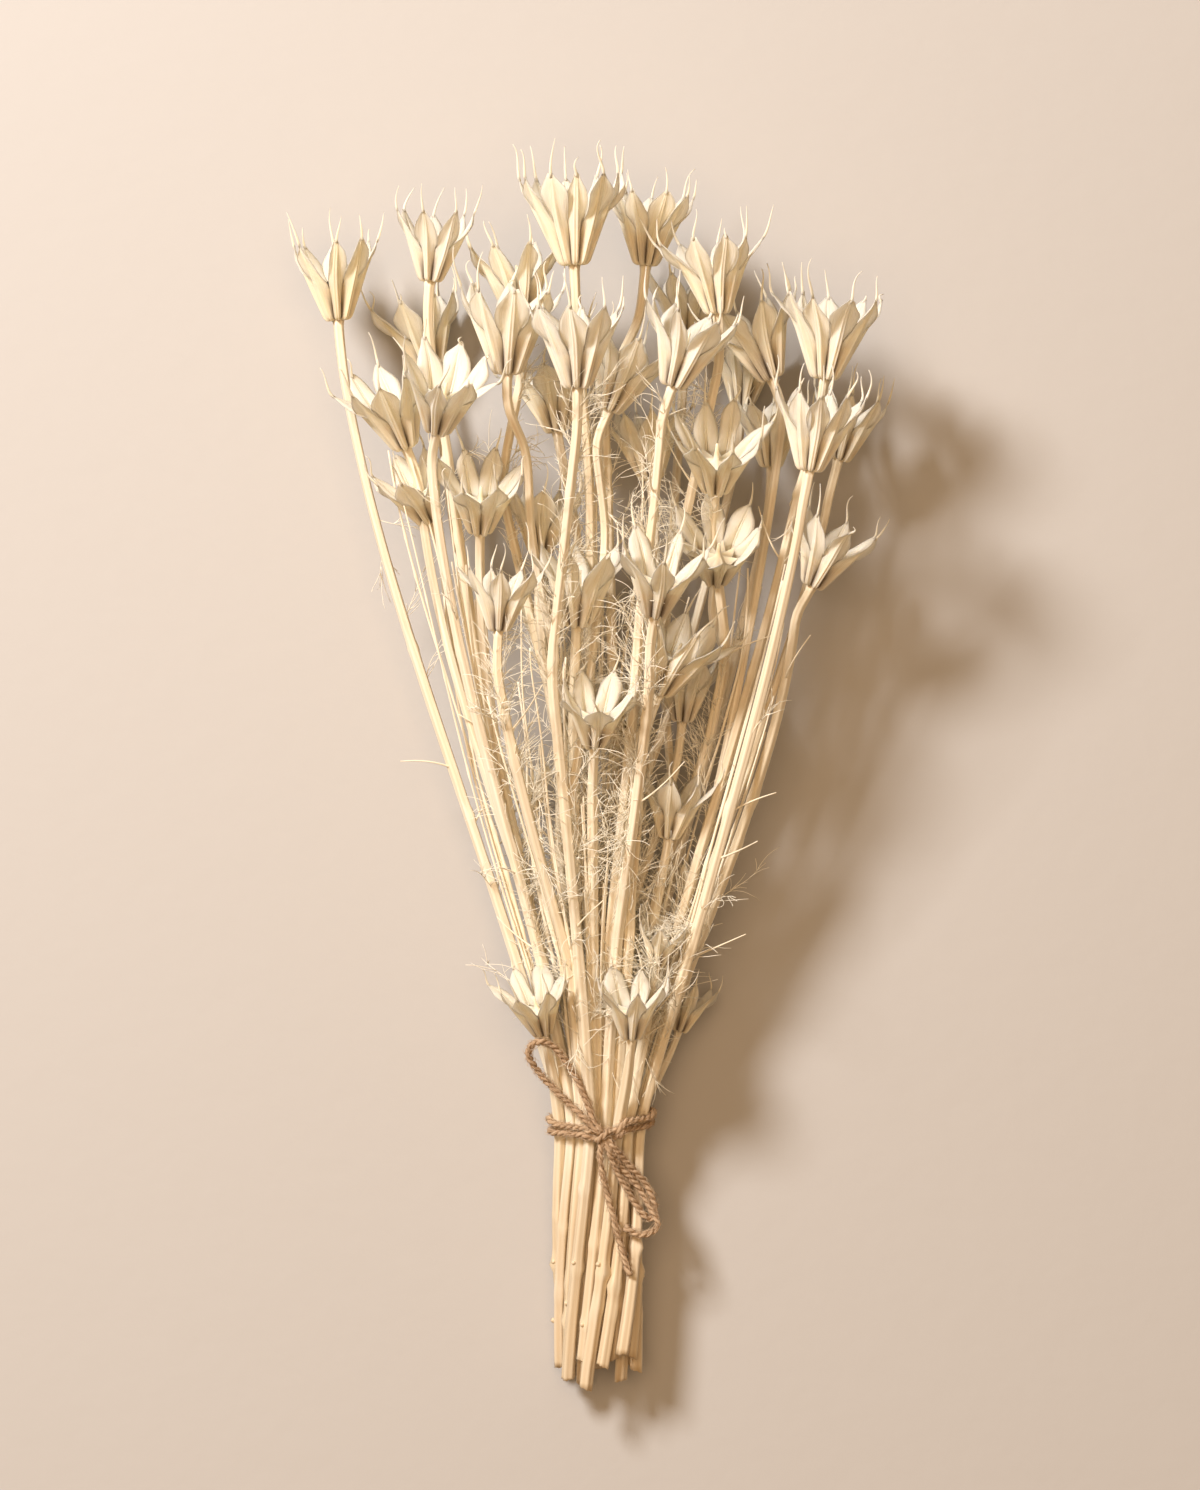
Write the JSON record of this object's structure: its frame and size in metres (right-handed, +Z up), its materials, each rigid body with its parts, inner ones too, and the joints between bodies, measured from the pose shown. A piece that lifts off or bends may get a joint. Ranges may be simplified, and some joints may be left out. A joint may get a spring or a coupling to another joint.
{
  "type": "tied bunch of dried nigella seed pods",
  "caption": "Bunch of bleached dried nigella seed pods on long stems, held by a jute twine tied in a bow, lying on its side.",
  "frame": {"origin": "middle of the bunch's box, on the surface that it lies on", "axes": "+Y along the bunch from the cut ends to the pods, +X across it, +Z up from the surface, the way the picture looks down"},
  "size_m": [0.2132, 0.4376, 0.1205],
  "materials": {
    "bleached_stem": "bleached dry plant, papery satin",
    "jute": "hairy twisted jute"
  },
  "bodies": {
    "root": {"stem_far_left": "bleached_stem", "stem_top_left": "bleached_stem", "stem_left": "bleached_stem", "stem_left_low": "bleached_stem", "stem_front_left": "bleached_stem", "stem_top_middle": "bleached_stem", "stem_front_middle": "bleached_stem", "stem_top_right_of_middle": "bleached_stem", "stem_crossing": "bleached_stem", "stem_top_right": "bleached_stem", "stem_right_pair": "bleached_stem", "stem_right": "bleached_stem", "stem_right_back": "bleached_stem", "stem_facing_pair": "bleached_stem", "stem_far_right": "bleached_stem", "stem_centre_right": "bleached_stem", "stem_slanting": "bleached_stem", "stem_centre": "bleached_stem", "stem_behind_centre": "bleached_stem", "stem_left_centre": "bleached_stem", "stem_low_centre": "bleached_stem", "stem_low_right": "bleached_stem", "stem_front_low": "bleached_stem", "stem_by_tie": "bleached_stem", "stem_by_tie_left": "bleached_stem", "stem_by_tie_back": "bleached_stem", "jute_twine": "jute"}
  },
  "joints": []
}
